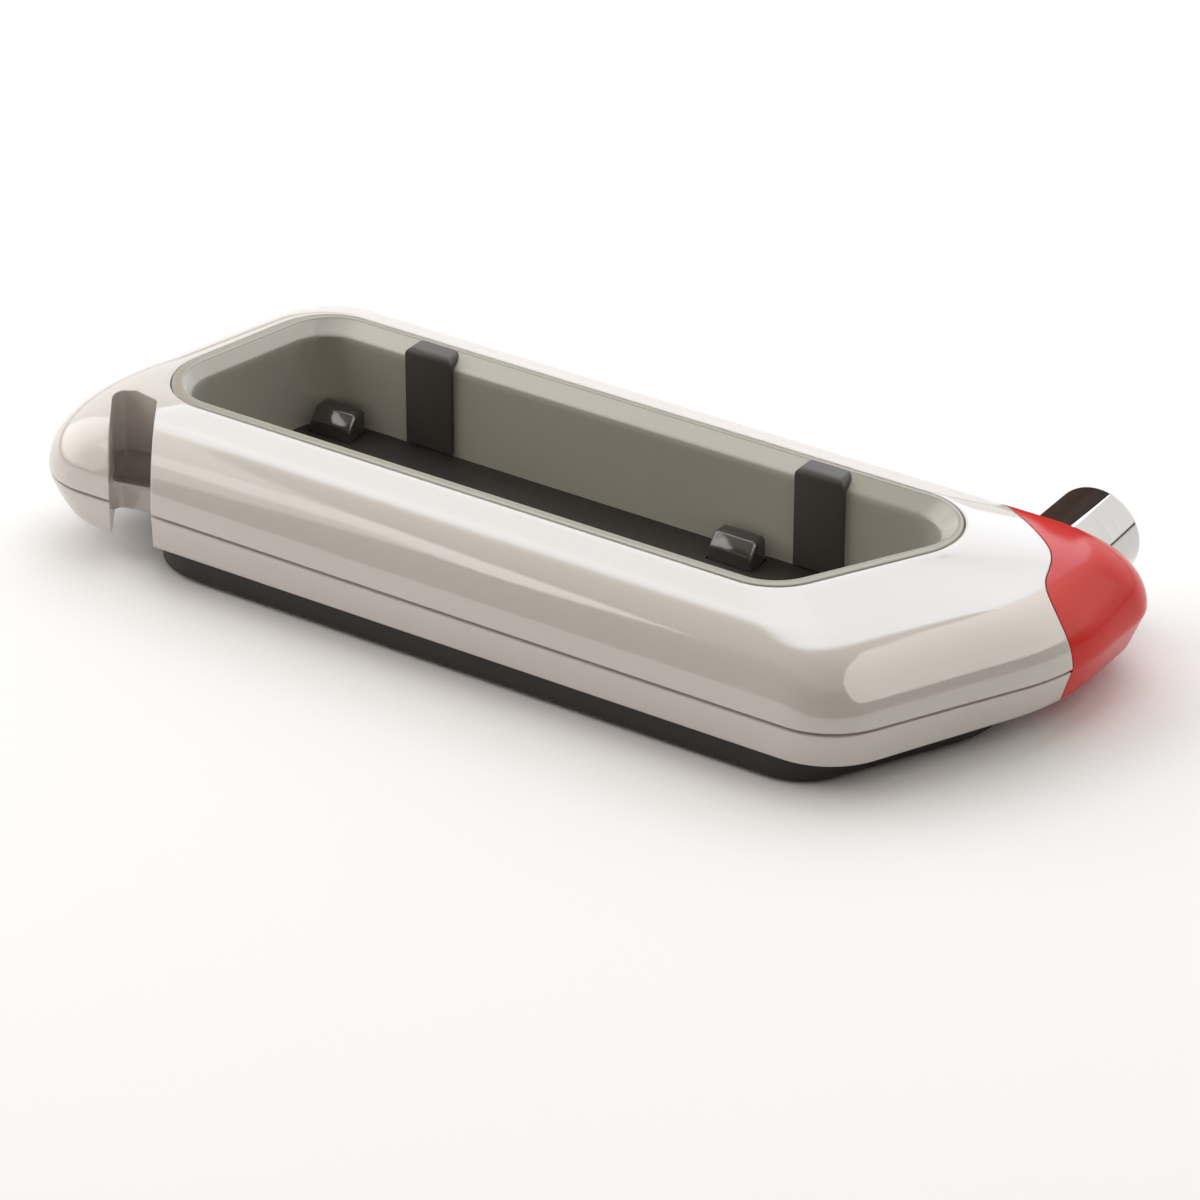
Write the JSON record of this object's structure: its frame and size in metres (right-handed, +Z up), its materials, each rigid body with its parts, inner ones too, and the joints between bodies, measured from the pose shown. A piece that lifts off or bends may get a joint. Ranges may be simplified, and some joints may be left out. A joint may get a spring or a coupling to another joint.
{
  "type": "egg slicer base",
  "caption": "Egg slicer base unit: long two-shell body with a drop-in trough liner, sprung catches, hook notch at one corner and a turning chrome pivot knob on a red end cap.",
  "frame": {"origin": "middle of the overall box in plan, on the table the feet stand on", "axes": "+X along the body from the hook notch to the red cap, +Y to the back where the knob points, +Z up"},
  "size_m": [0.2788, 0.122, 0.0396],
  "materials": {
    "white_plastic": "glossy white moulded shell",
    "red_plastic": "satin red moulded cap",
    "charcoal_plastic": "fine matte charcoal",
    "grey_liner": "satin warm grey",
    "gloss_black": "glossy black",
    "chrome": "polished",
    "steel": "plain zinc grey",
    "brass": "turned",
    "rubber": "matte"
  },
  "bodies": {
    "housing": {"upper_housing": "white_plastic", "lower_housing": "white_plastic", "base_pan": "charcoal_plastic", "rubber_feet": "rubber", "housing_screws": "steel", "end_cap": "red_plastic", "end_cap_screws": "steel", "pivot_bush": "brass"},
    "pivot": {"pivot_shaft": "steel", "thrust_washer": "steel", "retaining_ring": "steel", "knob_core": "charcoal_plastic", "knob_sleeve": "chrome"},
    "tray": {"tray_liner": "grey_liner", "floor_mat": "rubber", "clip_left": "charcoal_plastic", "clip_right": "charcoal_plastic", "catch_cup_left": "charcoal_plastic", "catch_cup_right": "charcoal_plastic", "catch_spring_left": "steel", "catch_spring_right": "steel"},
    "catch_left": {"catch_left": "gloss_black"},
    "catch_right": {"catch_right": "gloss_black"}
  },
  "joints": [
    {"name": "pivot_turn", "type": "hinge", "parent": "housing", "child": "pivot", "pos_m": [0.11054, 0.0399, 0.02], "axis": [0, 1, 0], "range_deg": [0, 110]},
    {"name": "tray_lift", "type": "slide", "parent": "housing", "child": "tray", "axis": [0, 0, 1], "range_m": [0, 0.06]},
    {"name": "catch_left_press", "type": "slide", "parent": "tray", "child": "catch_left", "axis": [0, 0, -1], "range_m": [0, 0.002], "stiffness_N_per_m": 400, "springref_m": -0.001, "deforming": ["catch_spring_left"]},
    {"name": "catch_right_press", "type": "slide", "parent": "tray", "child": "catch_right", "axis": [0, 0, -1], "range_m": [0, 0.002], "stiffness_N_per_m": 400, "springref_m": -0.001, "deforming": ["catch_spring_right"]}
  ]
}
